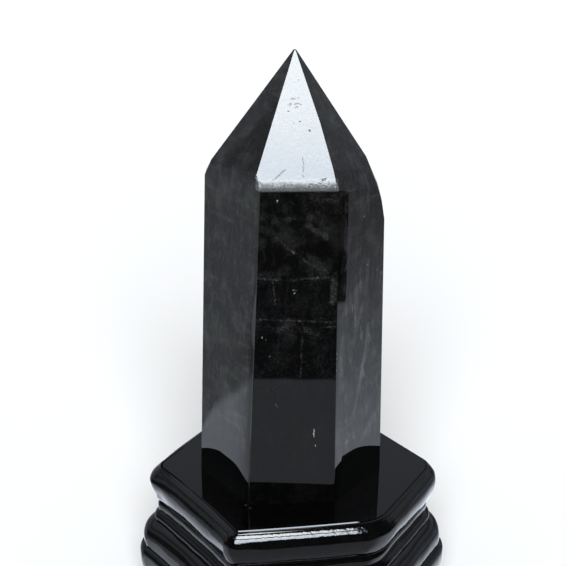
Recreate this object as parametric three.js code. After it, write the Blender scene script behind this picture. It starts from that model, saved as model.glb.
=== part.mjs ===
// Morion quartz point: a polished six-sided tower of smoky black quartz, standing on a
// hexagonal wooden stand with stepped mouldings and black lacquer.
// Millimetres, +Z up. The origin is under the middle of the stand, on the surface it stands on.

import * as THREE from 'three';
import { ConvexGeometry } from 'three/addons/geometries/ConvexGeometry.js';
import { mergeVertices } from 'three/addons/utils/BufferGeometryUtils.js';

// ---- driving dimensions ----

// The stand. Its flat top is the seat of the crystal.
const standHeight = 46;

// The six straight sides of the flat top, in order round it. The stand is carved by hand, so no
// two are quite alike: where each one faces (degrees from +X), how far it lies from the middle,
// and how much it bows outwards half-way along.
const topSides = [
  { name: 'front', faces: -83.5, reach: 38.5, bow: 0.4 },
  { name: 'right front', faces: -30.6, reach: 38.0, bow: 0.2 },
  { name: 'right back', faces: 30.5, reach: 37.8, bow: 0 },
  { name: 'back', faces: 90, reach: 38.0, bow: 0.2 },
  { name: 'left back', faces: 147.5, reach: 38.6, bow: 0 },
  { name: 'left front', faces: -151.6, reach: 37.5, bow: -0.9 },
];

// Radius of the corner that follows each side, at the rim of the top. The corners grow rounder
// as the mouldings stand out, but the one left of the front is a sharp mitre all the way down.
const cornerRadii = [8, 6, 5, 5, 5, 0.5];
const sharpCorner = 5;

// The moulding, from the rim of the flat top down to the underside. Each step is a run of
// points: how far the surface stands out from the rim, and how far it lies below the top.
const moulding = {
  rimGroove: [[-0.9, 0], [-0.55, 0.28], [-0.2, 0.02]],
  bullnose: [[0.4, 0.15], [1.45, 0.75], [2.4, 1.7], [3.1, 2.9], [3.5, 4.5], [3.45, 6.2], [2.95, 8.2],
    [2.0, 10.2], [1.0, 11.9], [0.55, 12.4]],
  upperBead: [[0.95, 12.8], [1.2, 13.6], [1.25, 14.4], [1.1, 15.3], [0.85, 15.8]],
  lowerBead: [[1.5, 16.3], [2.2, 17.1], [2.45, 18.1], [2.4, 18.9], [2.1, 19.2]],
  ovolo: [[3.0, 19.5], [4.3, 20.4], [5.3, 21.9], [5.9, 23.7], [6.2, 25.8], [6.1, 28.1]],
  footRoll: [[6.8, 28.4], [7.4, 29.4], [7.65, 31.0], [7.65, 33.2], [7.25, 35.5], [6.3, 37.9], [5.1, 39.6]],
  plinth: [[4.6, 40.2], [4.6, 45.6], [4.2, 46.0]],
};

// How far the mouldings stand off centre to the left, and over how many points they get there.
const mouldingShift = 0.4;
const shiftPoints = 3;

// Steps along one side, and along one rounded corner.
const sideSteps = 7;
const cornerSteps = 5;

// The crystal. Its prism faces lean in a little as they rise, and one leans out. The apex is
// where the faces of the point would meet: its very tip is worn away.
const apexHeight = 138.6;
const apexPlace = new THREE.Vector2(-2.0, -0.1);
const prismFaces = [
  { name: 'front', faces: -90.2, leans: 1.3, reach: 25.05 },
  { name: 'right front', faces: -35.3, leans: 1.07, reach: 23.42 },
  { name: 'right back', faces: 28.1, leans: 0.5, reach: 23.8 },
  { name: 'back', faces: 88.3, leans: 1.1, reach: 25.2 },
  { name: 'left back', faces: 148.8, leans: -0.4, reach: 26.15 },
  { name: 'left front', faces: -149.9, leans: 2.2, reach: 26.6 },
];

// The six faces of the point meet at the apex. A slope is measured from the level.
const pointFaces = [
  { name: 'front', faces: -90.1, slope: 58.35 },
  { name: 'right front', faces: -29.4, slope: 58.9 },
  { name: 'right back', faces: 27.4, slope: 60.7 },
  { name: 'back', faces: 88.3, slope: 58.8 },
  { name: 'left back', faces: 147.8, slope: 57.4 },
  { name: 'left front', faces: -154.2, slope: 59.1 },
];

// Narrow flats that the polishing wheel left on the tip, the shoulders and one upright edge:
// each passes through a point (x, y and height over the seat) and slopes as given.
const wornFlats = [
  { name: 'tip', faces: -90, slope: 8, through: [-2.0, -0.1, 137.7] },
  { name: 'right shoulder, top', faces: -3.7, slope: 67.8, through: [21.2, -1.2, 102.4] },
  { name: 'right shoulder, middle', faces: -3.7, slope: 73.9, through: [23.7, -1.2, 96.5] },
  { name: 'right shoulder, foot', faces: -3.7, slope: 80.2, through: [25.2, -1.2, 91.4] },
  { name: 'left shoulder', faces: 179.5, slope: 69.0, through: [-27.2, 1.4, 102.3] },
  { name: 'front right edge', faces: -44, slope: 88.83, through: [9.75, -23.2, 80.0] },
];

// ---- the crystal ----

// A face is a plane: the unit normal that points out of the stone, and its distance from the origin.
function faceThrough(faces, slope, point) {
  const turn = THREE.MathUtils.degToRad(faces);
  const tip = THREE.MathUtils.degToRad(slope);
  const normal = new THREE.Vector3(
    Math.sin(tip) * Math.cos(turn),
    Math.sin(tip) * Math.sin(turn),
    Math.cos(tip),
  );
  return { normal, distance: normal.dot(point) };
}

function prismFace({ faces, leans, reach }) {
  const turn = THREE.MathUtils.degToRad(faces);
  const foot = new THREE.Vector3(reach * Math.cos(turn), reach * Math.sin(turn), 0);
  return faceThrough(faces, 90 - leans, foot);
}

// The point where three faces meet, or null where two of them are parallel.
function meetingPoint(a, b, c) {
  const bc = new THREE.Vector3().crossVectors(b.normal, c.normal);
  const ca = new THREE.Vector3().crossVectors(c.normal, a.normal);
  const ab = new THREE.Vector3().crossVectors(a.normal, b.normal);
  const spread = a.normal.dot(bc);
  if (Math.abs(spread) < 1e-6) return null;
  return bc.multiplyScalar(a.distance)
    .addScaledVector(ca, b.distance)
    .addScaledVector(ab, c.distance)
    .divideScalar(spread);
}

// The corners of the body that all the faces enclose.
function cornersOf(faces) {
  const slack = 1e-6;
  const sameCorner = 0.02;
  const corners = [];
  for (let i = 0; i < faces.length; i += 1) {
    for (let j = i + 1; j < faces.length; j += 1) {
      for (let k = j + 1; k < faces.length; k += 1) {
        const corner = meetingPoint(faces[i], faces[j], faces[k]);
        if (!corner) continue;
        const inside = faces.every((face) => face.normal.dot(corner) <= face.distance + slack);
        const known = corners.some((other) => other.distanceTo(corner) < sameCorner);
        if (inside && !known) corners.push(corner);
      }
    }
  }
  return corners;
}

function makeQuartzPoint() {
  const apex = new THREE.Vector3(apexPlace.x, apexPlace.y, apexHeight);
  const foot = { normal: new THREE.Vector3(0, 0, -1), distance: 0 };
  const faces = [
    foot,
    ...prismFaces.map(prismFace),
    ...pointFaces.map(({ faces: turn, slope }) => faceThrough(turn, slope, apex)),
    ...wornFlats.map(({ faces: turn, slope, through }) => (
      faceThrough(turn, slope, new THREE.Vector3(...through)))),
  ];
  const morion = new THREE.MeshStandardMaterial({
    name: 'morion quartz', color: 0x0b0a0a, roughness: 0.06, metalness: 0,
  });
  const mesh = new THREE.Mesh(new ConvexGeometry(cornersOf(faces)), morion);
  mesh.name = 'quartz_point';
  mesh.position.z = standHeight;
  return mesh;
}

// ---- the stand ----

// The turn from one side's facing to the next one's, going round the stand.
function turnBetween(side, next) {
  return THREE.MathUtils.degToRad(THREE.MathUtils.euclideanModulo(next.faces - side.faces, 360));
}

// Where two sides of the top meet once both are moved out by the same amount.
function sideCorner(a, b, out) {
  const turnA = THREE.MathUtils.degToRad(a.faces);
  const turnB = THREE.MathUtils.degToRad(b.faces);
  const spread = Math.sin(turnB - turnA);
  const reachA = a.reach + out;
  const reachB = b.reach + out;
  return new THREE.Vector2(
    (reachA * Math.sin(turnB) - reachB * Math.sin(turnA)) / spread,
    (reachB * Math.cos(turnA) - reachA * Math.cos(turnB)) / spread,
  );
}

// One closed outline of the stand, at the given distance out from the rim of the top. Every
// outline has the same number of points, so that neighbours in the stack can be joined.
function outline(out) {
  const count = topSides.length;
  const radii = cornerRadii.map((radius, i) => (i === sharpCorner ? radius : radius + out));
  const corners = topSides.map((side, i) => sideCorner(side, topSides[(i + 1) % count], out));
  const points = [];
  for (let i = 0; i < count; i += 1) {
    const side = topSides[i];
    const before = (i + count - 1) % count;
    const next = topSides[(i + 1) % count];
    const turnBefore = turnBetween(topSides[before], side);
    const turnAfter = turnBetween(side, next);
    const facing = THREE.MathUtils.degToRad(side.faces);
    const normal = new THREE.Vector2(Math.cos(facing), Math.sin(facing));
    const along = new THREE.Vector2(-normal.y, normal.x);
    const start = corners[before].clone().addScaledVector(along, radii[before] * Math.tan(turnBefore / 2));
    const end = corners[i].clone().addScaledVector(along, -radii[i] * Math.tan(turnAfter / 2));
    for (let s = 0; s <= sideSteps; s += 1) {
      const t = s / sideSteps;
      const bow = side.bow * 4 * t * (1 - t);
      points.push(start.clone().lerp(end, t).addScaledVector(normal, bow));
    }
    const centre = end.clone().addScaledVector(normal, -radii[i]);
    for (let s = 1; s < cornerSteps; s += 1) {
      const turn = facing + (turnAfter * s) / cornerSteps;
      points.push(new THREE.Vector2(
        centre.x + radii[i] * Math.cos(turn),
        centre.y + radii[i] * Math.sin(turn),
      ));
    }
  }
  return points;
}

function makeStand() {
  const levels = Object.values(moulding).flat();
  const positions = [];
  const triangles = [];
  const perLevel = outline(0).length;
  const firstShifted = moulding.rimGroove.length;
  levels.forEach(([out, below], level) => {
    const share = THREE.MathUtils.clamp((level - firstShifted + 1) / shiftPoints, 0, 1);
    outline(out).forEach((point) => (
      positions.push(point.x - mouldingShift * share, point.y, standHeight - below)));
  });
  const topCentre = positions.length / 3;
  positions.push(0, 0, standHeight);
  const underCentre = topCentre + 1;
  positions.push(0, 0, 0);
  const underside = (levels.length - 1) * perLevel;
  for (let i = 0; i < perLevel; i += 1) {
    const j = (i + 1) % perLevel;
    triangles.push(topCentre, i, j);
    for (let level = 0; level < levels.length - 1; level += 1) {
      const upper = level * perLevel;
      const lower = upper + perLevel;
      triangles.push(upper + i, lower + i, lower + j);
      triangles.push(upper + i, lower + j, upper + j);
    }
    triangles.push(underCentre, underside + j, underside + i);
  }
  const geometry = new THREE.BufferGeometry();
  geometry.setAttribute('position', new THREE.Float32BufferAttribute(positions, 3));
  geometry.setIndex(triangles);
  const lacquer = new THREE.MeshStandardMaterial({
    name: 'black lacquer', color: 0x0a0908, roughness: 0.12, metalness: 0,
  });
  const mesh = new THREE.Mesh(mergeVertices(geometry), lacquer);
  mesh.name = 'wooden_stand';
  return mesh;
}

const object = new THREE.Group();
object.add(makeQuartzPoint());
object.add(makeStand());

// The origin goes under the middle of the whole outline.
const middle = new THREE.Box3().setFromObject(object).getCenter(new THREE.Vector3());
object.position.set(-middle.x, -middle.y, 0);

export default object;
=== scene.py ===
"""A polished morion quartz point standing on its carved and lacquered stand."""

import math

import bpy
from mathutils import Matrix, Vector


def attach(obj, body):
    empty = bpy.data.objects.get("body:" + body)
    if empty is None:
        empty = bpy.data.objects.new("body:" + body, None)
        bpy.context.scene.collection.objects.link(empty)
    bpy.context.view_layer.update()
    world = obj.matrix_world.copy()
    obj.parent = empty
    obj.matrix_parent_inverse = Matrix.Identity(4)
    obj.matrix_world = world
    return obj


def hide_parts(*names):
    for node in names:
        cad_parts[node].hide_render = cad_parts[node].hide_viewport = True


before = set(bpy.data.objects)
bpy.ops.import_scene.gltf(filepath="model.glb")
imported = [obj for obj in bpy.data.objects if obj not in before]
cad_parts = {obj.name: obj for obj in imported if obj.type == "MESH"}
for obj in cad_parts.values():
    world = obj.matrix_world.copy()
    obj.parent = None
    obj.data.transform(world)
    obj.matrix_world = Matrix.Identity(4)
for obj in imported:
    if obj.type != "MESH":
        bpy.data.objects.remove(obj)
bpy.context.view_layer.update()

# Lengths are in millimetres and angles in degrees, unless a name says otherwise.
MM = 0.001

# The middle of the stand's plate, from the middle of the whole part.
PLATE_MIDDLE = (0.539, 1.689)
STAND_HEIGHT = 46.0

# The stone, measured from the plate's middle and up from its top.
STONE_TIP = (-2.0, -0.1, 138.6)
# faces, leans, reach
STONE_SIDES = (
    (-90.2, 1.3, 25.05),
    (-35.75, 1.07, 23.3),
    (28.1, 0.5, 23.8),
    (88.3, 1.1, 25.2),
    (148.8, -0.4, 26.15),
    (-149.9, 2.2, 26.6),
)
# faces, slope
POINT_SIDES = (
    (-90.1, 58.35),
    (-29.4, 58.9),
    (27.4, 60.7),
    (88.3, 58.8),
    (147.8, 57.4),
    (-154.2, 59.1),
)
# faces, slope, and a point that the flat goes through
WORN_FLATS = (
    (-90.0, 8.0, (-2.0, -0.1, 137.7)),
    (-3.7, 67.8, (21.2, -1.2, 102.4)),
    (-3.7, 73.9, (23.7, -1.2, 96.5)),
    (-3.7, 80.2, (25.2, -1.2, 91.4)),
    (179.5, 69.0, (-27.2, 1.4, 102.3)),
    (-38.2, 88.85, (9.9, -23.2, 80.0)),
    (-31.0, 60.5, (7.1, -16.58, 111.49)),
    (-32.0, 63.4, (8.41, -19.63, 106.71)),
    (-33.0, 71.0, (9.33, -22.6, 102.2)),
    (-34.0, 80.0, (11.0, -23.2, 98.6)),
)
EDGE_WEAR = 0.16
# Corners nearer to each other than this are one corner.
WELD = 0.02
# The block that the stone is sawn from, and how far to the side its middle lies.
BLOCK = (66.0, 60.0, 150.0)
BLOCK_ASIDE = -1.5
# The wheel left no worn edge where the left front side turns into its point facet.
SHARP_SHOULDER = (-22.0, -11.5, 103.0)
SHARP_SHOULDER_REACH = 6.0
# The very tip: how far down it is worked, how slim it gets, and how much is worn off it.
TIP_REACH = 1.8
TIP_SLIMMING = 0.78
TIP_WEAR = 0.12

# The stand's plate: faces, reach, bow of each side
PLATE_SIDES = (
    (-83.5, 38.5, 0.4),
    (-30.6, 38.0, 0.2),
    (30.5, 37.8, 0.0),
    (90.0, 38.0, 0.2),
    (147.5, 38.6, 0.0),
    (208.4, 37.5, -0.9),
)
# The mouldings below the plate sit a little to one side of it.
MOULDING_SHIFT = (-0.4, 0.0)
SHIFTED_OVER = 5
# The rounding of the corner after each side. The one between the left front and the front is a mitre.
PLATE_CORNERS = (8.0, 6.0, 5.0, 5.0, 5.0, 1.2)
# Edges of the outline that are longer than this are sides, and shorter ones are roundings.
SIDE_AT_LEAST = 12.0
SIDE_CUTS = 9
# Each moulding: how far out of the plate's edge, and how far below its top
LIP = (0.75, 0.07)
BULLNOSE = (
    (1.1, 0.2), (1.5, 0.48), (2.1, 1.05), (2.75, 1.78), (3.35, 2.62), (3.68, 3.6), (3.85, 4.6),
    (3.9, 5.7), (3.75, 7.3), (3.2, 9.2), (2.3, 10.9), (1.3, 12.0), (0.6, 12.35),
)
UPPER_BEAD = ((1.05, 12.6), (1.25, 13.4), (1.25, 14.4), (1.1, 15.3), (0.85, 15.8))
LOWER_BEAD = ((1.5, 16.3), (2.2, 17.1), (2.45, 18.1), (2.4, 18.9), (2.1, 19.2))
OVOLO = ((3.0, 19.5), (4.3, 20.4), (5.3, 21.9), (5.9, 23.7), (6.15, 25.8), (6.0, 28.1))
FOOT_ROLL = (
    (6.75, 28.4), (7.35, 29.4), (7.6, 31.0), (7.6, 33.2), (7.2, 35.5), (6.25, 37.9), (5.1, 39.6),
)
PLINTH = ((4.6, 40.2), (4.6, 45.6), (4.2, 46.0))
# The incised line round the plate: the width of each cut, and how far it goes down or up again.
INCISED_LINE = ((0.15, -0.02), (0.3, -0.3), (0.27, 0.38))
# What the chisel took off the bullnose at the left corner, under and over its belly. The cuts fade
# out along the sides between these distances from the corner, and up or down between these levels.
LEFT_TRIM_UNDER = 1.25
LEFT_TRIM_OVER = 0.8
LEFT_TRIM_ALONG = (17.55, 4.55)
LEFT_TRIM_LEVELS = (0.1, 12.5)
UNDERCUT_LEVELS = (4.6, 8.8)
UNDERCUT_RUNS_OUT = 5.0
OVERCUT_LEVELS = (5.0, 1.5)
OVERCUT_EDGE = 0.4
# The hand-carved mouldings wander by this much, in waves of this length.
CARVING_DEPTH = 0.7
CARVING_WAVE = 9.0
# Which mouldings wander: from this height down to that, and their share of the whole depth
WANDERING = (("mouldings", 43.2, 19.0, 1.0), ("foot roll", 19.0, 4.0, 0.12))
# Edges that turn less than this look smooth.
SMOOTH_STONE = 40.0
SMOOTH_STAND = 38.0

# The soft light in front: where it hangs, how wide it looks, its power, and the fill around it.
LAMP_FACES = -94.0
LAMP_HEIGHT = 31.0
LAMP_SPREAD = 33.0
LAMP_POWER = 5.2
FILL_LIGHT = 0.33
BACKDROP = 0.985
# The table top is this wide, and lies this far under the part's foot.
FLOOR_SIZE = 8000.0
FLOOR_BELOW = 0.2

# The camera: where it stands, how far it looks down, turns and rolls, and its lens. The focal
# length and the frame's width are in pixels.
CAMERA_STANDS = (-34.34, -437.04, 228.95)
CAMERA_DOWN = 20.631
CAMERA_TURN = 3.884
CAMERA_ROLL = 0.694
SENSOR_WIDTH = 36.0
FOCAL_PIXELS = 1500
FRAME_PIXELS = 566
NEAREST_SEEN = 10.0


def place(x, y, z):
    """A point measured from the plate's middle, as metres in the part's own frame."""
    return Vector(((x + PLATE_MIDDLE[0]) * MM, (y + PLATE_MIDDLE[1]) * MM, (z + STAND_HEIGHT) * MM))


def heading(faces, slope=90.0):
    """The direction in which a flat looks, with its slope from level."""
    across = math.sin(math.radians(slope))
    turn = math.radians(faces)
    return Vector((across * math.cos(turn), across * math.sin(turn), math.cos(math.radians(slope))))


# ------------------------------------------------------------------ bench work


def clear_bench():
    if bpy.context.mode != "OBJECT":
        bpy.ops.object.mode_set(mode="OBJECT")
    bpy.ops.object.select_all(action="DESELECT")


def name_piece(name):
    piece = bpy.context.object
    piece.name = name
    piece.data.name = name
    return piece


def pick(piece, kind, wanted):
    """Selects the corners, edges or faces of a piece that are wanted, and no others."""
    bpy.ops.object.mode_set(mode="EDIT")
    bpy.ops.mesh.select_mode(type=kind)
    bpy.ops.mesh.select_all(action="DESELECT")
    bpy.ops.object.mode_set(mode="OBJECT")
    items = {"VERT": piece.data.vertices, "EDGE": piece.data.edges, "FACE": piece.data.polygons}[kind]
    for item in items:
        item.select = wanted(item)
    bpy.ops.object.mode_set(mode="EDIT")


def finish_with(piece, kind, **settings):
    """Adds a modifier to a piece and applies it."""
    bpy.ops.object.mode_set(mode="OBJECT")
    modifier = piece.modifiers.new(kind.title(), kind)
    for setting, value in settings.items():
        setattr(modifier, setting, value)
    bpy.ops.object.modifier_apply(modifier=modifier.name)


# ------------------------------------------------------------------ the stone


def saw_off(faces, slope, through):
    bpy.ops.mesh.select_all(action="SELECT")
    bpy.ops.mesh.bisect(
        plane_co=place(*through),
        plane_no=heading(faces, slope),
        use_fill=True,
        clear_outer=True,
    )


def cut_stone():
    """Saws the six sides and the six point facets from a block, then wears its edges and its tip."""
    clear_bench()
    bpy.ops.mesh.primitive_cube_add(
        size=1, location=place(BLOCK_ASIDE, 0, BLOCK[2] / 2), scale=[side * MM for side in BLOCK]
    )
    stone = name_piece("quartz_point_polished")
    bpy.ops.object.transform_apply(location=True, rotation=True, scale=True)
    bpy.ops.object.mode_set(mode="EDIT")
    for faces, leans, reach in STONE_SIDES:
        side = heading(faces) * reach
        saw_off(faces, 90 - leans, (side.x, side.y, 0))
    for faces, slope in POINT_SIDES:
        saw_off(faces, slope, STONE_TIP)
    for faces, slope, through in WORN_FLATS:
        saw_off(faces, slope, through)
    bpy.ops.mesh.select_all(action="SELECT")
    bpy.ops.mesh.remove_doubles(threshold=WELD * MM)
    above_seat = (STAND_HEIGHT + 1) * MM
    shoulder = place(*SHARP_SHOULDER)
    corners = stone.data.vertices

    def worn(edge):
        start, end = (corners[i].co for i in edge.vertices)
        off_seat = max(start.z, end.z) > above_seat
        return off_seat and ((start + end) / 2 - shoulder).length > SHARP_SHOULDER_REACH * MM

    pick(stone, "EDGE", worn)
    bpy.ops.mesh.bevel(
        offset=EDGE_WEAR * MM, segments=3, affect="EDGES", profile=0.6, clamp_overlap=True
    )
    bpy.ops.object.mode_set(mode="OBJECT")
    tip = place(*STONE_TIP)
    pick(stone, "VERT", lambda vertex: (vertex.co - tip).length < TIP_REACH * MM)
    bpy.ops.transform.resize(value=(TIP_SLIMMING, TIP_SLIMMING, 1.0), center_override=tip)
    bpy.ops.transform.translate(value=(0, 0, -TIP_WEAR * MM))
    bpy.ops.mesh.select_all(action="SELECT")
    bpy.ops.mesh.normals_make_consistent(inside=False)
    bpy.ops.object.mode_set(mode="OBJECT")
    bpy.ops.object.shade_smooth_by_angle(angle=math.radians(SMOOTH_STONE))
    finish_with(stone, "WEIGHTED_NORMAL", mode="FACE_AREA", weight=50, keep_sharp=True)
    return stone


# ------------------------------------------------------------------ the stand


def plate_corner(side, next_side):
    """Where the lips of two neighbouring sides of the plate would meet."""
    first, second = heading(side[0]), heading(next_side[0])
    reach, next_reach = side[1] + LIP[0], next_side[1] + LIP[0]
    spread = first.x * second.y - first.y * second.x
    return (
        (reach * second.y - next_reach * first.y) / spread,
        (next_reach * first.x - reach * second.x) / spread,
    )


def fair(points):
    """The levels of a moulding with one more level between each two, on a smooth curve."""
    faired = [points[0]]
    for i in range(len(points) - 1):
        before, start = points[max(i - 1, 0)], points[i]
        end, after = points[i + 1], points[min(i + 2, len(points) - 1)]
        faired.append(
            tuple((9 * (start[k] + end[k]) - before[k] - after[k]) / 16 for k in (0, 1))
        )
        faired.append(end)
    return faired


def draw_plate():
    """The plate's outline: six corners set in place, rounded, and the sides bowed."""
    clear_bench()
    bpy.ops.mesh.primitive_circle_add(vertices=6, radius=0.04, fill_type="NGON", location=(0, 0, 0))
    stand = name_piece("wooden_stand_lacquered")
    sides = PLATE_SIDES
    corners = [plate_corner(sides[i], sides[(i + 1) % 6]) for i in range(6)]
    height = -LIP[1]
    for i, corner in enumerate(corners):
        target = place(corner[0], corner[1], height)
        pick(stand, "VERT", lambda vertex: vertex.index == i)
        bpy.ops.transform.translate(value=target - stand.data.vertices[i].co)
    bpy.ops.object.mode_set(mode="OBJECT")
    for i, rounding in enumerate(PLATE_CORNERS):
        if rounding:
            turn = math.radians((sides[(i + 1) % 6][0] - sides[i][0]) % 360)
            spot = place(corners[i][0], corners[i][1], height)
            pick(stand, "VERT", lambda vertex: (vertex.co - spot).length < 1e-5)
            bpy.ops.mesh.bevel(
                offset=(rounding + LIP[0]) * math.tan(turn / 2) * MM,
                segments=7,
                affect="VERTICES",
                profile=0.5,
            )
    bpy.ops.object.mode_set(mode="OBJECT")
    spots = stand.data.vertices
    pick(
        stand,
        "EDGE",
        lambda edge: (spots[edge.vertices[0]].co - spots[edge.vertices[1]].co).length > SIDE_AT_LEAST * MM,
    )
    bpy.ops.mesh.subdivide(number_cuts=SIDE_CUTS)
    bow_sides(stand, corners)
    return stand


def bow_sides(stand, corners):
    """Bows each side of the outline, most at its middle."""
    bpy.ops.object.mode_set(mode="OBJECT")
    middle = place(0, 0, 0)
    moves = []
    for i, (faces, reach, bow) in enumerate(PLATE_SIDES):
        out = heading(faces)
        along = Vector((-out.y, out.x, 0))
        start, end = (Vector((*corners[k], 0)).dot(along) for k in (i - 1, i))
        centre, half = (start + end) / 2, abs(end - start) / 2
        for vertex in stand.data.vertices:
            spot = (vertex.co - middle) / MM
            if bow and abs(spot.dot(out) - reach - LIP[0]) < 0.02:
                share = (spot.dot(along) - centre) / half
                moves.append((vertex.index, out * bow * (1 - share**2) * MM))
    for index, move in moves:
        pick(stand, "VERT", lambda vertex: vertex.index == index)
        bpy.ops.transform.translate(value=move)


def carve_down(levels):
    """Carves a moulding: draws the edge down to each level and spreads it evenly."""
    reached = LIP
    for count, (out, below) in enumerate(levels):
        drop, spread = below - reached[1], out - reached[0]
        bpy.ops.mesh.extrude_region_move(TRANSFORM_OT_translate={"value": (0, 0, -drop * MM)})
        bpy.ops.transform.shrink_fatten(value=spread * MM, use_even_offset=True)
        if count < SHIFTED_OVER:
            step = Vector((*MOULDING_SHIFT, 0)) * MM / SHIFTED_OVER
            bpy.ops.transform.translate(value=step)
        reached = (out, below)


def carve_stand():
    stand = draw_plate()
    # the outline stands at the lip from here on
    pick(stand, "FACE", lambda face: True)
    bpy.ops.mesh.select_mode(type="EDGE")
    bpy.ops.mesh.region_to_loop()
    levels = [*fair(BULLNOSE)]
    for moulding in (UPPER_BEAD, LOWER_BEAD, OVOLO, FOOT_ROLL):
        levels += fair(moulding)
    levels += PLINTH
    carve_down(levels)
    bpy.ops.mesh.edge_face_add()
    bpy.ops.object.mode_set(mode="OBJECT")
    plate = max(stand.data.polygons, key=lambda face: face.center.z).index
    pick(stand, "FACE", lambda face: face.index == plate)
    for width, depth in INCISED_LINE:
        bpy.ops.mesh.inset(thickness=width * MM, depth=depth * MM, use_even_offset=True)
    bpy.ops.mesh.select_all(action="SELECT")
    bpy.ops.mesh.normals_make_consistent(inside=False)
    bpy.ops.object.mode_set(mode="OBJECT")
    trim_left_corner(stand)
    wander(stand)
    bpy.ops.object.shade_smooth_by_angle(angle=math.radians(SMOOTH_STAND))
    return stand


def ramp(value, start, end):
    """Rises evenly from 0 at start to 1 at end."""
    return min(max((value - start) / (end - start), 0), 1)


def trim_left_corner(stand):
    """The chisel took more off the bullnose at the left corner, above and below."""
    corner = place(*plate_corner(PLATE_SIDES[4], PLATE_SIDES[5]), 0)
    first, last = LEFT_TRIM_LEVELS
    moves = []
    for vertex in stand.data.vertices:
        away, below = (vertex.co - corner).xy.length / MM, (corner.z - vertex.co.z) / MM
        share = ramp(away, *LEFT_TRIM_ALONG) ** 2
        if share and first < below < last:
            under = ramp(below, *UNDERCUT_LEVELS) - max(below - UNDERCUT_LEVELS[1], 0) / UNDERCUT_RUNS_OUT
            over = ramp(below, 0, OVERCUT_EDGE) * ramp(below, *OVERCUT_LEVELS)
            move = Vector((LEFT_TRIM_UNDER * under, 0, -LEFT_TRIM_OVER * over)) * share * MM
            moves.append((vertex.index, move))
    for index, move in moves:
        pick(stand, "VERT", lambda vertex: vertex.index == index)
        bpy.ops.transform.translate(value=move)
    bpy.ops.object.mode_set(mode="OBJECT")


def wander(stand):
    """Makes the mouldings wander a little, as a chisel leaves them. The seat and the foot stay true."""
    for name, top, foot, share in WANDERING:
        pick(stand, "VERT", lambda vertex: foot * MM < vertex.co.z <= top * MM)
        bpy.ops.object.vertex_group_add()
        stand.vertex_groups.active.name = name
        bpy.ops.object.vertex_group_assign()
        bpy.ops.object.mode_set(mode="OBJECT")
        waves = bpy.data.textures.new(name, "CLOUDS")
        waves.noise_scale = CARVING_WAVE * MM
        waves.noise_depth = 1
        finish_with(
            stand,
            "DISPLACE",
            texture=waves,
            texture_coords="LOCAL",
            strength=CARVING_DEPTH * share * MM,
            mid_level=0.5,
            vertex_group=name,
        )


# ------------------------------------------------------------------ finishes


def calc(tree, operation, *values, clamp=False):
    step = tree.nodes.new("ShaderNodeMath")
    step.operation = operation
    step.use_clamp = clamp
    for socket, value in zip(step.inputs, values):
        if isinstance(value, (int, float)):
            socket.default_value = value
        else:
            tree.links.new(value, socket)
    return step.outputs[0]


def fade(tree, value, start, end, low=0.0, high=1.0, soft=True):
    """Goes from low at start to high at end."""
    step = tree.nodes.new("ShaderNodeMapRange")
    step.interpolation_type = "SMOOTHSTEP" if soft else "LINEAR"
    for name, number in (("From Min", start), ("From Max", end), ("To Min", low), ("To Max", high)):
        if isinstance(number, (int, float)):
            step.inputs[name].default_value = number
        else:
            tree.links.new(number, step.inputs[name])
    tree.links.new(value, step.inputs["Value"])
    return step.outputs[0]


def blend(tree, share, first, second):
    """Mixes two colours."""
    step = tree.nodes.new("ShaderNodeMix")
    step.data_type = "RGBA"
    for socket, value in zip((step.inputs[0], step.inputs[6], step.inputs[7]), (share, first, second)):
        if isinstance(value, (int, float)):
            socket.default_value = value
        elif isinstance(value, tuple):
            socket.default_value = (*value, 1.0)
        else:
            tree.links.new(value, socket)
    return step.outputs[2]


def stretch(tree, coordinates, scale=(1, 1, 1), location=(0, 0, 0), rotation=(0, 0, 0)):
    step = tree.nodes.new("ShaderNodeMapping")
    step.inputs["Scale"].default_value = scale
    step.inputs["Location"].default_value = location
    step.inputs["Rotation"].default_value = [math.radians(turn) for turn in rotation]
    tree.links.new(coordinates, step.inputs["Vector"])
    return step.outputs[0]


def cloud(tree, coordinates, scale, detail=4.0, roughness=0.55, distortion=0.0):
    step = tree.nodes.new("ShaderNodeTexNoise")
    step.inputs["Scale"].default_value = scale
    step.inputs["Detail"].default_value = detail
    step.inputs["Roughness"].default_value = roughness
    step.inputs["Distortion"].default_value = distortion
    tree.links.new(coordinates, step.inputs["Vector"])
    return step.outputs["Fac"]


def relief(tree, height, depth, before=None):
    """A bump of a real depth, in millimetres."""
    step = tree.nodes.new("ShaderNodeBump")
    step.inputs["Strength"].default_value = 1.0
    step.inputs["Distance"].default_value = depth * MM
    tree.links.new(height, step.inputs["Height"])
    if before is not None:
        tree.links.new(before, step.inputs["Normal"])
    return step.outputs[0]


def start_finish(name):
    """A new finish, its shader, and coordinates in millimetres from the plate's middle and top."""
    finish = bpy.data.materials.new(name)
    finish.use_nodes = True
    tree = finish.node_tree
    shader = tree.nodes["Principled BSDF"]
    coordinates = tree.nodes.new("ShaderNodeTexCoord").outputs["Object"]
    spot = stretch(
        tree,
        coordinates,
        scale=(1 / MM, 1 / MM, 1 / MM),
        location=(-PLATE_MIDDLE[0], -PLATE_MIDDLE[1], -STAND_HEIGHT),
    )
    return finish, tree, shader, spot


def apart(tree, spot):
    step = tree.nodes.new("ShaderNodeSeparateXYZ")
    tree.links.new(spot, step.inputs[0])
    return step.outputs


def total(tree, *values):
    """Adds several values up."""
    result = values[0]
    for value in values[1:]:
        result = calc(tree, "ADD", result, value)
    return result


def both(tree, *values):
    """Multiplies several values."""
    result = values[0]
    for value in values[1:]:
        result = calc(tree, "MULTIPLY", result, value)
    return result


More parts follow.
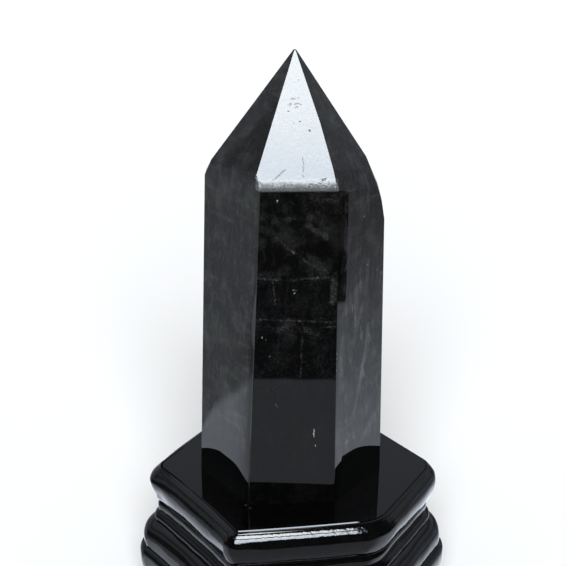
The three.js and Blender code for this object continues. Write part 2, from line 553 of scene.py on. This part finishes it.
def vector(tree, operation, first, second=None):
    step = tree.nodes.new("ShaderNodeVectorMath")
    step.operation = operation
    for socket, value in zip(step.inputs, (first, second)):
        if isinstance(value, (tuple, Vector)):
            socket.default_value = value
        elif value is not None:
            tree.links.new(value, socket)
    return step.outputs["Value" if operation in ("LENGTH", "DOT_PRODUCT") else "Vector"]


def drift(tree, spot, scale, reach):
    """The coordinates, shaken so that what follows them is ragged."""
    step = tree.nodes.new("ShaderNodeTexNoise")
    step.inputs["Scale"].default_value = scale
    step.inputs["Detail"].default_value = 3.0
    tree.links.new(spot, step.inputs["Vector"])
    centred = vector(tree, "SUBTRACT", step.outputs["Color"], (0.5, 0.5, 0.5))
    return vector(tree, "ADD", spot, vector(tree, "MULTIPLY", centred, (reach, reach, reach)))


def mark(tree, spot, start, end, width, strength):
    """A fine line or speck from start to end, fading at its sides."""
    along = Vector(end) - Vector(start)
    away = vector(tree, "SUBTRACT", spot, start)
    if along.length > 0.01:
        dot = vector(tree, "DOT_PRODUCT", away, along)
        share = calc(tree, "DIVIDE", dot, along.length_squared, clamp=True)
        step = tree.nodes.new("ShaderNodeVectorMath")
        step.operation = "SCALE"
        step.inputs[0].default_value = along
        tree.links.new(share, step.inputs["Scale"])
        away = vector(tree, "SUBTRACT", away, step.outputs[0])
    return fade(tree, vector(tree, "LENGTH", away), width, width * 0.25, 0.0, strength)


def marks(tree, spot, listed):
    """All the marks of a list together."""
    result = None
    for start, end, width, strength in listed:
        one = mark(tree, spot, start, end, width, strength)
        result = one if result is None else calc(tree, "MAXIMUM", result, one)
    return result


# Marks in and on the stone: start, end, width, strength
HEALED_CRACKS = (
    ((-14.0, -23.4, 74.3), (-5.0, -23.4, 73.6), 0.5, 0.6),
    ((-5.0, -23.4, 73.6), (7.6, -23.4, 74.6), 0.6, 0.5),
    ((-13.6, -23.6, 61.4), (-6.0, -23.6, 61.0), 0.4, 0.5),
    ((-6.0, -23.6, 61.0), (10.8, -23.6, 60.2), 0.5, 0.5),
    ((-3.9, -23.2, 83.0), (0.7, -23.2, 79.2), 0.5, 0.4),
    ((0.7, -23.2, 79.2), (7.0, -23.2, 76.2), 0.7, 0.22),
    ((-8.5, -23.2, 87.0), (-4.4, -23.2, 83.0), 0.6, 0.3),
    ((1.0, -23.2, 90.5), (6.5, -23.2, 86.5), 1.3, 0.4),
    ((-9.0, -23.2, 92.0), (2.0, -23.2, 93.0), 1.2, 0.25),
    ((-0.3, -23.6, 60.5), (-0.6, -24.1, 42.7), 0.35, 0.6),
    ((-9.4, -23.4, 73.5), (-8.4, -23.5, 66.0), 0.35, 0.55),
    ((9.3, -23.4, 75.0), (8.7, -23.5, 67.0), 1.6, 0.8),
    ((5.4, -23.7, 58.6), (10.4, -23.7, 58.8), 0.4, 0.7),
    ((-12.0, -23.7, 57.0), (-3.0, -23.7, 59.5), 1.2, 0.3),
    ((-5.0, -23.7, 59.0), (4.0, -23.7, 57.0), 1.5, 0.35),
    ((2.5, -22.8, 99.6), (9.5, -22.8, 98.6), 2.2, 0.3),
)
PALE_SPECKS = (
    ((-8.3, -22.8, 98.2), (-8.2, -22.8, 97.8), 0.19, 1.0),
    ((-3.5, -23.4, 70.5), (-2.3, -23.4, 70.3), 0.24, 0.8),
    ((-2.9, -23.4, 69.6), (-2.5, -23.4, 69.6), 0.20, 0.7),
    ((-12.6, -23.7, 55.8), (-12.5, -23.7, 55.3), 0.26, 0.8),
    ((-11.2, -23.7, 55.0), (-11.0, -23.7, 54.8), 0.20, 0.5),
    ((-3.6, -23.2, 82.6), (-3.1, -23.2, 82.0), 0.26, 0.18),
    ((-10.2, -24.0, 49.6), (-10.2, -24.0, 49.4), 0.24, 0.3),
    ((3.7, -24.5, 25.2), (3.7, -24.5, 22.6), 0.22, 1.0),
    ((4.2, -24.6, 19.9), (4.3, -24.6, 19.5), 0.24, 1.0),
    ((-8.1, -24.3, 33.9), (-7.6, -24.3, 32.9), 0.20, 0.15),
    ((18.9, -11.0, 90.4), (18.9, -11.0, 89.0), 0.20, 0.9),
    ((-19.6, -17.4, 103.1), (-19.0, -17.4, 102.7), 0.24, 0.7),
    ((-23.3, -12.0, 91.5), (-22.6, -12.0, 90.6), 0.48, 0.35),
)
FEATHERS = (
    ((21.5, -8.7, 53.0), (20.6, -10.0, 44.0), 1.4, 0.64),
    ((20.6, -10.0, 44.0), (18.4, -13.4, 33.0), 1.7, 0.77),
    ((18.4, -13.4, 33.0), (17.0, -15.3, 26.0), 1.4, 0.51),
    ((16.6, -14.6, 67.0), (17.0, -14.6, 54.0), 2.2, 0.42),
    ((18.6, -11.8, 60.0), (16.4, -15.6, 50.0), 1.5, 0.34),
    ((20.8, -8.8, 74.0), (20.2, -9.9, 64.0), 1.7, 0.34),
    ((24.0, -4.6, 20.0), (17.0, -15.6, 11.0), 2.5, 0.42),
    ((-20.6, -16.8, 88.0), (-20.4, -17.3, 78.0), 1.0, 0.34),
    ((-27.0, -7.0, 81.0), (-18.0, -21.0, 77.0), 1.5, 0.30),
    ((-28.0, -4.0, 62.0), (-19.0, -20.0, 59.0), 2.7, 0.19),
)
WORN_SPOTS = (
    ((11.4, -21.6, 101.8), (22.6, -5.6, 101.2), 0.55, 0.75),
    ((17.2, -12.4, 103.2), (18.4, -10.6, 101.6), 0.9, 0.5),
    ((10.5, -24.0, 50.0), (10.6, -24.2, 43.0), 0.35, 1.0),
    ((-31.0, 0.2, 33.0), (-31.2, 0.0, 26.0), 0.5, 0.9),
    ((-14.2, -20.9, 104.9), (-13.3, -22.5, 102.2), 0.9, 1.0),
)
DARK_PITS = (
    ((-23.9, -12.4, 22.4), (-24.6, -11.2, 20.0), 0.35, 1.0),
    ((-9.1, -24.3, 38.9), (-9.0, -24.3, 38.2), 0.5, 1.0),
    ((14.2, -12.8, 106.0), (13.6, -13.6, 104.6), 0.35, 1.0),
    ((20.6, -8.8, 72.8), (20.6, -8.8, 72.4), 0.5, 0.8),
    ((-1.9, -5.9, 129.2), (-1.8, -5.9, 129.3), 0.2, 0.5),
    ((-1.2, -5.7, 129.6), (0.2, -5.3, 130.2), 0.16, 0.3),
    ((-3.6, -8.7, 124.7), (-1.1, -8.4, 125.1), 0.2, 0.28),
    ((-4.4, -9.4, 123.5), (-0.5, -9.4, 123.5), 0.2, 0.25),
    ((-4.8, -10.5, 121.7), (-4.1, -10.4, 121.9), 0.22, 0.5),
    ((-4.1, -10.4, 121.9), (-1.7, -9.9, 122.8), 0.18, 0.28),
    ((-4.2, -9.7, 123.0), (-2.1, -9.3, 123.7), 0.18, 0.25),
    ((-3.1, -12.4, 118.7), (-2.9, -12.4, 118.7), 0.2, 0.35),
    ((-1.3, -12.3, 118.9), (-1.1, -12.2, 119.0), 0.2, 0.5),
    ((1.5, -13.7, 116.5), (1.7, -13.7, 116.6), 0.28, 0.8),
    ((-9.3, -21.5, 103.9), (-5.8, -19.9, 106.5), 0.2, 0.35),
    ((-0.5, -18.0, 109.5), (-0.5, -21.0, 104.7), 0.18, 0.25),
    ((4.7, -21.5, 103.9), (5.9, -21.4, 104.1), 0.4, 0.6),
)


# The front left edge: how far it leans over with height, and where it starts at the plate.
LEFT_EDGE_LEAN = 0.0337
LEFT_EDGE_AT = -16.4
# The front left face rounds over towards the front by this much, over this width, and less above.
ROUNDED_BY = 1.29
ROUNDED_OVER = 8.2
ROUNDED_POWER = 5.0
ROUNDED_HEIGHTS = (82.0, 50.0)
# The left foot stands out by less, up to this height.
LEFT_FOOT = -0.9
LEFT_FOOT_HEIGHT = 15.2
# So does the foot of the front right edge, from here and over this width, below these heights.
CORNER_FOOT = -0.15
CORNER_AT = 9.7
CORNER_OVER = 2.6
CORNER_HEIGHTS = (24.0, 16.0)
CORNER_IN_FRONT = (0.0, -5.0)


def left_over(tree, value, width):
    """What is left of 1 after a share of this width."""
    return calc(tree, "SUBTRACT", 1.0, calc(tree, "DIVIDE", value, width), clamp=True)


def face_trim(tree, x, y, z):
    """How the polished faces curve near the foot and beside the front edges, in millimetres."""
    edge = calc(tree, "MULTIPLY_ADD", z, LEFT_EDGE_LEAN, LEFT_EDGE_AT)
    beyond = calc(tree, "SUBTRACT", edge, x)
    on_left = fade(tree, beyond, 0.0, 0.1)
    rounding = left_over(tree, beyond, ROUNDED_OVER)
    rounding = calc(tree, "POWER", rounding, ROUNDED_POWER)
    rounding = both(tree, rounding, on_left, fade(tree, z, *ROUNDED_HEIGHTS), -ROUNDED_BY)
    low = left_over(tree, z, LEFT_FOOT_HEIGHT)
    foot = both(tree, low, low, on_left, LEFT_FOOT)
    corner = left_over(tree, calc(tree, "SUBTRACT", x, CORNER_AT), CORNER_OVER)
    in_front = fade(tree, z, *CORNER_HEIGHTS), fade(tree, y, *CORNER_IN_FRONT)
    corner = both(tree, corner, corner, *in_front, CORNER_FOOT)
    corner = both(tree, corner, calc(tree, "SUBTRACT", 1.0, on_left))
    return total(tree, rounding, foot, corner)


# Where the stone's zones begin and where they are full, in millimetres. The front face:
FRONT_DEPTH = (-21.6, -22.4)
FRONT_TOP = (103.0, 101.5)
FRONT_RIGHT = (11.0, 10.4)
# The narrow worn flat along its right edge:
STRIP_FOOT = (64.0, 66.5)
STRIP_TOP = (104.0, 101.0)
STRIP_LEFT = (10.3, 10.7)
STRIP_RIGHT = (12.1, 11.8)
# The right side, and where the front face gets clearer towards it:
RIGHT_SIDE = (10.6, 12.0)
CLEARER = (10.0, 6.5)
# Cloudy bands of the front face: the middle one's foot and top, the belt's foot and top, its clear foot
MIDDLE_FOOT = (72.0, 75.0)
MIDDLE_TOP = (99.5, 96.5)
BELT_FOOT = (53.0, 57.0)
BELT_TOP = (63.0, 60.0)
CLEAR_FOOT = (38.0, 43.0)
# The side faces: where streaks grow rich, the clear foot, and the calmer point
RICH_HEIGHTS = (84.0, 62.0)
SIDE_FOOT = (12.0, 18.0)
SIDE_POINT = (102.0, 106.0)
# The band of lost polish at the foot of the bright facet
FROSTED_HEIGHTS = (105.1, 101.6)
FROSTED_DEPTH = (-19.8, -20.6)
FROSTED_LEFT = (-14.7, -14.1)
FROSTED_RIGHT = (10.0, 9.5)
FROSTED_FOOT = (100.5, 101.3)

# How bright each kind of veil is, as a share of white
FRONT_VEILS = {"patches": 0.005, "grains": 0.0075, "dots": 0.012, "upright": 0.0025, "cracks": 0.04}
SIDE_VEILS = {
    "upright": 0.011,
    "hairs": 0.013,
    "clouds": 0.013,
    "level": 0.012,
    "dots": 0.02,
    "streaks": 0.06,
    "feathers": 0.06,
}
SPECKS_SHOW = 0.25
DEEP_BLACK = 0.0006
FROST = (0.5, 0.53, 0.55)
# Light bends at the stone's surface by this much.
QUARTZ_IOR = 1.544
LACQUER_IOR = 1.5


def front_veils(tree, z, clear, clouds, upright, grains, dots, cracks):
    """The veils of the front face: cloudy above, a darker middle, and a clear foot."""
    middle = both(tree, fade(tree, z, *MIDDLE_FOOT, 0.2, 1.0), fade(tree, z, *MIDDLE_TOP, 0.4, 1.0))
    belt = both(tree, fade(tree, z, *BELT_FOOT), fade(tree, z, *BELT_TOP), 0.6)
    broken = both(tree, fade(tree, dots, 0.42, 0.6), fade(tree, clouds, 0.42, 0.56, 0.25, 1.0))
    patches = both(tree, fade(tree, clouds, 0.44, 0.66), total(tree, middle, belt))
    fine = both(tree, fade(tree, grains, 0.5, 0.75), fade(tree, clouds, 0.42, 0.62, 0.08, 1.0))
    show = FRONT_VEILS
    veils = total(
        tree,
        both(tree, patches, show["patches"]),
        both(tree, fine, show["grains"]),
        both(tree, fade(tree, dots, 0.52, 0.74), fade(tree, clouds, 0.4, 0.6, 0.2, 1.0), show["dots"]),
        both(tree, fade(tree, upright, 0.52, 0.72), show["upright"]),
        both(tree, cracks, broken, show["cracks"]),
    )
    return both(tree, veils, fade(tree, z, *CLEAR_FOOT, 0.4, 1.0), clear)


def side_veils(tree, z, right, ragged, clouds, upright, hairs, level, dots, feathers):
    """The veils of the side faces: streaks and soft clouds, strongest low on the right."""
    rich = calc(tree, "MULTIPLY", right, fade(tree, z, *RICH_HEIGHTS))
    slanted = stretch(tree, ragged, scale=(0.34, 0.34, 0.12), rotation=(0, 11, 0))
    streaks = fade(tree, cloud(tree, slanted, 1.0, detail=8.0, roughness=0.74), 0.52, 0.68)
    streaks = both(tree, streaks, fade(tree, dots, 0.35, 0.6, 0.55, 1.0))
    show = SIDE_VEILS
    veils = total(
        tree,
        both(tree, fade(tree, upright, 0.48, 0.74), show["upright"]),
        both(tree, fade(tree, hairs, 0.52, 0.7), show["hairs"]),
        both(tree, fade(tree, clouds, 0.45, 0.66), show["clouds"]),
        both(tree, fade(tree, level, 0.54, 0.72), show["level"]),
        both(tree, fade(tree, dots, 0.5, 0.75), show["dots"]),
        both(tree, streaks, rich, show["streaks"]),
        both(tree, feathers, show["feathers"]),
    )
    return both(tree, veils, fade(tree, z, *SIDE_FOOT), fade(tree, z, *SIDE_POINT, 1.0, 0.75))


def frosting(tree, ragged, x, y, z, dots):
    """Where the bright facet loses its polish towards the front face."""
    frosted = fade(tree, apart(tree, ragged)[2], *FROSTED_HEIGHTS)
    frosted = both(tree, frosted, fade(tree, y, *FROSTED_DEPTH))
    frosted = both(tree, frosted, fade(tree, x, *FROSTED_LEFT), fade(tree, x, *FROSTED_RIGHT))
    return both(tree, frosted, fade(tree, dots, 0.3, 0.62, 0.4, 1.0), fade(tree, z, *FROSTED_FOOT))


def ground_surface(tree, spot, x, y, z, grains, frosted, worn, pits):
    """The wheel's slow waves, the rasped and pitted wear, and the point's scuffs."""
    waves = cloud(tree, spot, 0.06, detail=1.0)
    shape = relief(tree, face_trim(tree, x, y, z), 1.0)
    shape = relief(tree, waves, 0.004, shape)
    rasped = calc(tree, "ADD", both(tree, frosted, frosted, 1.7), worn)
    shape = relief(tree, calc(tree, "SUBTRACT", both(tree, rasped, grains), pits), 0.12, shape)
    scuffs = cloud(tree, stretch(tree, spot, scale=(1.0, 1.0, 0.5)), 1.4, detail=5.0, roughness=0.7)
    return relief(tree, both(tree, scuffs, fade(tree, z, 102.5, 104.5)), 0.02, shape)


def polished_morion():
    """The stone's finish. One more noise in it turns the whole stone black, so add none."""
    finish, tree, shader, spot = start_finish("polished morion")
    x, y, z = apart(tree, spot)
    ragged = drift(tree, spot, 0.9, 1.3)
    shaken = drift(tree, spot, 0.25, 3.0)
    front = both(tree, fade(tree, y, *FRONT_DEPTH), fade(tree, z, *FRONT_TOP), fade(tree, x, *FRONT_RIGHT))
    strip = both(tree, fade(tree, z, *STRIP_FOOT), fade(tree, z, *STRIP_TOP))
    strip = both(tree, strip, fade(tree, x, *STRIP_LEFT, 0.0, 0.6), fade(tree, x, *STRIP_RIGHT))
    right = fade(tree, x, *RIGHT_SIDE)
    side = calc(tree, "SUBTRACT", 1.0, front)
    clear = fade(tree, x, *CLEARER, 0.6, 1.0)

    # what the veils, clouds and marks inside the stone are made of
    clouds = cloud(tree, shaken, 0.13, detail=7.0, roughness=0.66)
    upright = cloud(tree, stretch(tree, shaken, scale=(0.75, 0.75, 0.07)), 1.0, detail=6.0, roughness=0.62)
    hairs = cloud(tree, stretch(tree, spot, scale=(2.2, 2.2, 0.22)), 1.0, detail=4.0, roughness=0.6)
    level = cloud(tree, stretch(tree, ragged, scale=(0.07, 0.07, 0.5)), 1.0, detail=5.0, roughness=0.6)
    grains = cloud(tree, spot, 1.7, detail=3.0, roughness=0.7)
    cracks = marks(tree, ragged, HEALED_CRACKS)
    specks = marks(tree, ragged, PALE_SPECKS)
    feathers = both(tree, marks(tree, ragged, FEATHERS), fade(tree, grains, 0.35, 0.65, 0.3, 1.0))
    dots = cloud(tree, spot, 2.6, detail=2.0, roughness=0.8)

    front_veil = front_veils(tree, z, clear, clouds, upright, grains, dots, cracks)
    side_veil = side_veils(tree, z, right, ragged, clouds, upright, hairs, level, dots, feathers)
    side_veil = both(tree, side_veil, calc(tree, "SUBTRACT", 1.0, strip))
    amount = calc(tree, "ADD", both(tree, front, front_veil), both(tree, side, side_veil))
    amount = calc(tree, "ADD", amount, both(tree, specks, SPECKS_SHOW))
    veiled = tinted(tree, spot, amount)

    # frosted wear along the edges and at the foot of the bright facet, and pits
    worn = both(tree, marks(tree, ragged, WORN_SPOTS), fade(tree, dots, 0.36, 0.6))
    frosted = frosting(tree, ragged, x, y, z, dots)
    dull = calc(tree, "MAXIMUM", both(tree, worn, 0.8), both(tree, frosted, 0.14))
    base = blend(tree, dull, veiled, FROST)
    pits = marks(tree, ragged, DARK_PITS)
    tree.links.new(base, shader.inputs["Base Color"])

    polish = calc(tree, "MULTIPLY_ADD", fade(tree, grains, 0.45, 0.8), 0.02, 0.012)
    polish = total(tree, polish, both(tree, worn, 0.4), both(tree, pits, 0.5), both(tree, frosted, 0.3))
    tree.links.new(polish, shader.inputs["Roughness"])
    shader.inputs["IOR"].default_value = QUARTZ_IOR
    surface = ground_surface(tree, spot, x, y, z, grains, frosted, worn, pits)
    tree.links.new(surface, shader.inputs["Normal"])
    return finish


def tinted(tree, spot, amount):
    """The stone's colour: a faint bluish, brownish or greenish grey, as bright as the veils are."""
    tint = cloud(tree, spot, 0.07, detail=3.0)
    colour = blend(tree, fade(tree, tint, 0.4, 0.5), (0.94, 0.99, 1.06), (1.0, 1.0, 1.0))
    colour = blend(tree, fade(tree, tint, 0.53, 0.6), colour, (1.01, 1.0, 0.96))
    green = fade(tree, cloud(tree, stretch(tree, spot, location=(31, 7, 3)), 0.06, detail=3.0), 0.5, 0.58)
    colour = blend(tree, both(tree, green, 0.7), colour, (0.9, 1.06, 0.93))
    step = tree.nodes.new("ShaderNodeVectorMath")
    step.operation = "SCALE"
    tree.links.new(colour, step.inputs[0])
    tree.links.new(calc(tree, "ADD", amount, DEEP_BLACK), step.inputs["Scale"])
    return step.outputs[0]


# Dust on the plate: start, end, width, strength
DUST = (
    ((-13.0, -18.5, 0.0), (-12.8, -18.5, 0.0), 0.4, 0.5),
    ((-17.2, -25.4, 0.0), (-17.1, -25.4, 0.0), 0.45, 0.3),
    ((-16.0, -27.3, 0.0), (-15.7, -27.4, 0.0), 0.35, 0.25),
)


def black_lacquer():
    finish, tree, shader, spot = start_finish("black lacquer")
    x, y, z = apart(tree, spot)
    shader.inputs["IOR"].default_value = LACQUER_IOR
    plate = fade(tree, z, -0.45, -0.2)
    # the plate is flatter than the mouldings, and they are calmer below the rim
    smooth = fade(tree, z, -1.0, -0.5, 1.0, 0.05)
    calm = fade(tree, z, -3.0, -2.2, 0.2, 1.0)
    brushed = cloud(tree, stretch(tree, spot, scale=(1, 1, 1.6)), 0.75, detail=3.0, roughness=0.5)
    swells = cloud(tree, spot, 0.16, detail=2.0)
    grit = cloud(tree, spot, 3.2, detail=2.0, roughness=0.6)
    dust = both(tree, marks(tree, spot, DUST), 0.5)
    dust = calc(tree, "ADD", dust, both(tree, fade(tree, grit, 0.74, 0.82), 0.1))
    shade = cloud(tree, spot, 0.3, detail=4.0)
    black = blend(tree, fade(tree, shade, 0.35, 0.65), (0.0006, 0.0006, 0.0007), (0.0014, 0.0013, 0.0013))
    tree.links.new(blend(tree, dust, black, (0.3, 0.3, 0.31)), shader.inputs["Base Color"])
    gloss = fade(tree, shade, 0.3, 0.7, 0.03, 0.06)
    gloss = both(tree, gloss, fade(tree, plate, 0.0, 1.0, 1.0, 0.45))
    tree.links.new(gloss, shader.inputs["Roughness"])
    # a broken line that the tool left along the front
    tool_line = fade(tree, calc(tree, "MULTIPLY_ADD", brushed, 0.4, z), -1.25, -1.45)
    chased = both(tree, tool_line, fade(tree, y, -30.0, -36.0))
    height = total(
        tree,
        both(tree, brushed, calm, 0.075),
        both(tree, swells, 0.08),
        both(tree, grit, 0.008),
        both(tree, chased, -0.1),
    )
    tree.links.new(relief(tree, both(tree, height, smooth), 1.0), shader.inputs["Normal"])
    return finish


# ------------------------------------------------------------------ the studio


def lay_floor():
    clear_bench()
    bpy.ops.mesh.primitive_plane_add(size=FLOOR_SIZE * MM, location=(0, 0, -FLOOR_BELOW * MM))
    floor = name_piece("pale_floor")
    finish = bpy.data.materials.new("pale table top")
    finish.use_nodes = True
    shader = finish.node_tree.nodes["Principled BSDF"]
    shader.inputs["Base Color"].default_value = (0.85, 0.868, 0.885, 1)
    shader.inputs["Roughness"].default_value = 0.9
    shader.inputs["Specular IOR Level"].default_value = 0.0
    floor.data.materials.append(finish)
    floor.visible_glossy = False
    return floor


# The room is given in degrees: turned to the right of straight in front, and up from level. Each
# pair goes from where a thing begins to where it is full, and two more numbers after it are how
# grey it is at the one and at the other. Where the shaded stretches of the room lie:
SHADE_LEFT = (-117.0, -113.0)
SHADE_AHEAD = (60.0, 40.0)
SHADE_BEHIND = (125.0, 129.0)
SHADE_BEHIND_SHARE = 0.8
SHADE_RIGHT = (50.0, 60.0)
SHADE_RIGHT_ENDS = (111.0, 106.0)
SHADE_FOOT = (-14.0, -10.5)
SHADE_TOP = (10.0, 5.5)
SHADE = (0.06, 0.06, 0.06)
# The walls: their foot, and how many times brighter or darker each stretch is than the one below
WALL_FOOT = (-12.0, 0.0, 0.33, 0.2)
WALL_STRETCHES = ((8.0, 12.5, 1.55), (17.0, 19.0, 1.2), (19.0, 23.0, 0.42), (26.0, 38.0, 2.6))
BACK_WALL = (32.0, 40.0, 0.25, 0.42)
BACK_WALL_TOP = (44.0, 52.0, 1.0, 0.15)
ROOM_MIDDLE = 5.0
BACK_FROM = (140.0, 165.0)
AHEAD_TO = (93.0, 106.0)
AHEAD = (0.04, 0.04, 0.04)
# The pale cloth on the table, as each side mirrors it. On the right it brightens downwards.
RIGHT_CLOTH = (-15.0, -26.5)
RIGHT_CLOTH_POWER = 1.75
RIGHT_CLOTH_GREYS = (0.7, 0.16)
# On the left its edge rises straight from this point, and then bends over from the next.
LEFT_EDGE_FROM = (-116.93, -22.87)
LEFT_EDGE_RISE = 0.75
LEFT_BEND_FROM = (-116.56, -22.64)
LEFT_BEND_RISE = 0.2
LEFT_BEND_POWER = 0.6
LEFT_CLOTH = (0.3, -0.3, 0.33, 0.9)
FRONT_CLOTH = (-21.65, -21.75, 0.035, 0.43)
CORNER_CLOTH = (-20.0, -20.2)
CORNER_CLOTH_TIMES = 1.3
CORNER_CLOTH_LEAST = 0.012
LEFT_TURNS = (-60.0, -80.0)
CORNER_TURNS = (50.0, 80.0)
RIGHT_TURNS = (111.0, 113.0)
# The cloth behind the part is the brightest.
BACK_CLOTH_TURNS = (120.0, 136.0)
BACK_CLOTH = (-25.0, -31.0)
BRIGHT_CLOTH = (1.45, 1.45, 1.45)
TABLE_EDGE = (-14.2, -11.5)
COOL = (0.93, 1.0, 1.12)
# The large soft light: its left and right sides, its foot and top, and where it brightens upwards
GLOW_LEFT = (-32.0, -28.0)
GLOW_RIGHT = (32.0, 27.0)
GLOW_FOOT = (32.5, 33.5)
GLOW_TOP = (76.0, 73.0)
GLOW_RISE = (45.5, 51.0)
LOW_GLOW = (13.5, 14.8, 16.8)
HIGH_GLOW = (19.2, 20.4, 21.0)


def room_walls(tree, turn, up):
    """What lies above the table top: dark in front, grey at the sides and behind."""
    aside = calc(tree, "ABSOLUTE", calc(tree, "SUBTRACT", turn, ROOM_MIDDLE))
    shaded = both(tree, fade(tree, turn, *SHADE_LEFT), fade(tree, turn, *SHADE_AHEAD))
    behind = both(tree, fade(tree, turn, *SHADE_BEHIND), SHADE_BEHIND_SHARE)
    shaded = calc(tree, "MAXIMUM", shaded, behind)
    right = both(tree, fade(tree, turn, *SHADE_RIGHT), fade(tree, turn, *SHADE_RIGHT_ENDS))
    shaded = calc(tree, "MAXIMUM", shaded, right)
    shaded = both(tree, shaded, fade(tree, up, *SHADE_FOOT), fade(tree, up, *SHADE_TOP))
    walls = blend(tree, shaded, fade(tree, up, *WALL_FOOT), SHADE)
    for start, end, times in WALL_STRETCHES:
        walls = calc(tree, "MULTIPLY", walls, fade(tree, up, start, end, 1.0, times))
    back_wall = fade(tree, up, *BACK_WALL)
    back_wall = calc(tree, "MULTIPLY", back_wall, fade(tree, up, *BACK_WALL_TOP))
    walls = blend(tree, fade(tree, aside, *BACK_FROM), walls, back_wall)
    return blend(tree, fade(tree, aside, *AHEAD_TO, 1.0, 0.0), walls, AHEAD)


def table_cloth(tree, turn, up):
    """The table top, as each side of the part mirrors it."""
    right_share = calc(tree, "POWER", fade(tree, up, *RIGHT_CLOTH, soft=False), RIGHT_CLOTH_POWER)
    right_cloth = calc(tree, "MULTIPLY_ADD", right_share, *RIGHT_CLOTH_GREYS)
    edge_turn, edge_up = LEFT_EDGE_FROM
    bend_turn, bend_up = LEFT_BEND_FROM
    edge = calc(tree, "MULTIPLY_ADD", calc(tree, "ADD", turn, -edge_turn), LEFT_EDGE_RISE, edge_up)
    bend = calc(tree, "MAXIMUM", calc(tree, "ADD", turn, -bend_turn), 0.0)
    bend = calc(tree, "POWER", bend, LEFT_BEND_POWER)
    bend = calc(tree, "MULTIPLY_ADD", bend, LEFT_BEND_RISE, bend_up)
    edge = calc(tree, "MINIMUM", edge, bend)
    left_cloth = fade(tree, calc(tree, "SUBTRACT", up, edge), *LEFT_CLOTH)
    front_cloth = fade(tree, up, *FRONT_CLOTH)
    corner_cloth = both(tree, fade(tree, up, *CORNER_CLOTH), right_cloth, CORNER_CLOTH_TIMES)
    corner_cloth = calc(tree, "ADD", corner_cloth, CORNER_CLOTH_LEAST)
    cloth = blend(tree, fade(tree, turn, *LEFT_TURNS), front_cloth, left_cloth)
    cloth = blend(tree, fade(tree, turn, *CORNER_TURNS), cloth, corner_cloth)
    cloth = blend(tree, fade(tree, turn, *RIGHT_TURNS), cloth, right_cloth)
    round_behind = fade(tree, calc(tree, "ABSOLUTE", turn), *BACK_CLOTH_TURNS)
    behind = both(tree, round_behind, fade(tree, up, *BACK_CLOTH))
    return blend(tree, behind, cloth, BRIGHT_CLOTH)


def hang_surroundings():
    """What the gloss mirrors: a large soft light in front, a room round it, and pale cloth below."""
    world = bpy.data.worlds.new("studio")
    bpy.context.scene.world = world
    world.use_nodes = True
    world.cycles.sampling_method = "NONE"
    tree = world.node_tree
    direction = tree.nodes.new("ShaderNodeTexCoord").outputs["Generated"]
    x, y, z = apart(tree, direction)
    degrees = 180 / math.pi
    up = calc(tree, "MULTIPLY", calc(tree, "ARCSINE", z), degrees)
    # the turn from straight in front, to the right
    turn = calc(tree, "MULTIPLY", calc(tree, "ARCTAN2", x, calc(tree, "MULTIPLY", y, -1.0)), degrees)
    walls = room_walls(tree, turn, up)
    cloth = table_cloth(tree, turn, up)
    dim = blend(tree, fade(tree, up, *TABLE_EDGE), cloth, walls)
    # the soft light
    wide = both(tree, fade(tree, turn, *GLOW_LEFT), fade(tree, turn, *GLOW_RIGHT))
    tall = both(tree, fade(tree, up, *GLOW_FOOT), fade(tree, up, *GLOW_TOP))
    glow = blend(tree, fade(tree, up, *GLOW_RISE), LOW_GLOW, HIGH_GLOW)

    path = tree.nodes.new("ShaderNodeLightPath")
    cool = tree.nodes.new("ShaderNodeVectorMath")
    cool.operation = "MULTIPLY"
    tree.links.new(dim, cool.inputs[0])
    cool.inputs[1].default_value = COOL
    mirrored = blend(tree, both(tree, wide, tall), cool.outputs[0], glow)
    fill, backdrop = (FILL_LIGHT,) * 3, (BACKDROP,) * 3
    seen = blend(tree, path.outputs["Is Camera Ray"], fill, backdrop)
    seen = blend(tree, path.outputs["Is Glossy Ray"], seen, mirrored)
    tree.links.new(seen, tree.nodes["Background"].inputs["Color"])


def hang_lamp():
    """The soft light itself, which shades the table top behind the object."""
    clear_bench()
    bpy.ops.object.light_add(type="SUN", location=(0, -1, 1.2))
    lamp = bpy.context.object
    lamp.name = "soft light"
    lamp.rotation_euler = heading(LAMP_FACES, 90 - LAMP_HEIGHT).to_track_quat("Z", "Y").to_euler()
    lamp.data.angle = math.radians(LAMP_SPREAD)
    lamp.data.energy = LAMP_POWER
    lamp.visible_glossy = False


def set_camera():
    stands_at = place(*CAMERA_STANDS)
    down, turned, rolled = (math.radians(angle) for angle in (CAMERA_DOWN, CAMERA_TURN, CAMERA_ROLL))
    ahead = Vector(
        (math.sin(turned) * math.cos(down), math.cos(turned) * math.cos(down), -math.sin(down))
    )
    right = ahead.cross(Vector((0, 0, 1))).normalized()
    top = right.cross(ahead)
    tilted_right = right * math.cos(rolled) + top * math.sin(rolled)
    tilted_top = top * math.cos(rolled) - right * math.sin(rolled)
    clear_bench()
    bpy.ops.object.camera_add(location=stands_at)
    camera = bpy.context.object
    camera.rotation_euler = Matrix((tilted_right, tilted_top, -ahead)).transposed().to_euler()
    camera.data.sensor_width = SENSOR_WIDTH
    camera.data.lens = SENSOR_WIDTH * FOCAL_PIXELS / FRAME_PIXELS
    camera.data.clip_start = NEAREST_SEEN * MM
    bpy.context.scene.camera = camera


set_camera()
bpy.context.scene.view_settings.view_transform = "Standard"
lay_floor()
hang_surroundings()
hang_lamp()

stone = cut_stone()
stone.data.materials.append(polished_morion())
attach(stone, "root")
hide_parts("quartz_point")

stand = carve_stand()
stand.data.materials.append(black_lacquer())
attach(stand, "root")
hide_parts("wooden_stand")

clear_bench()
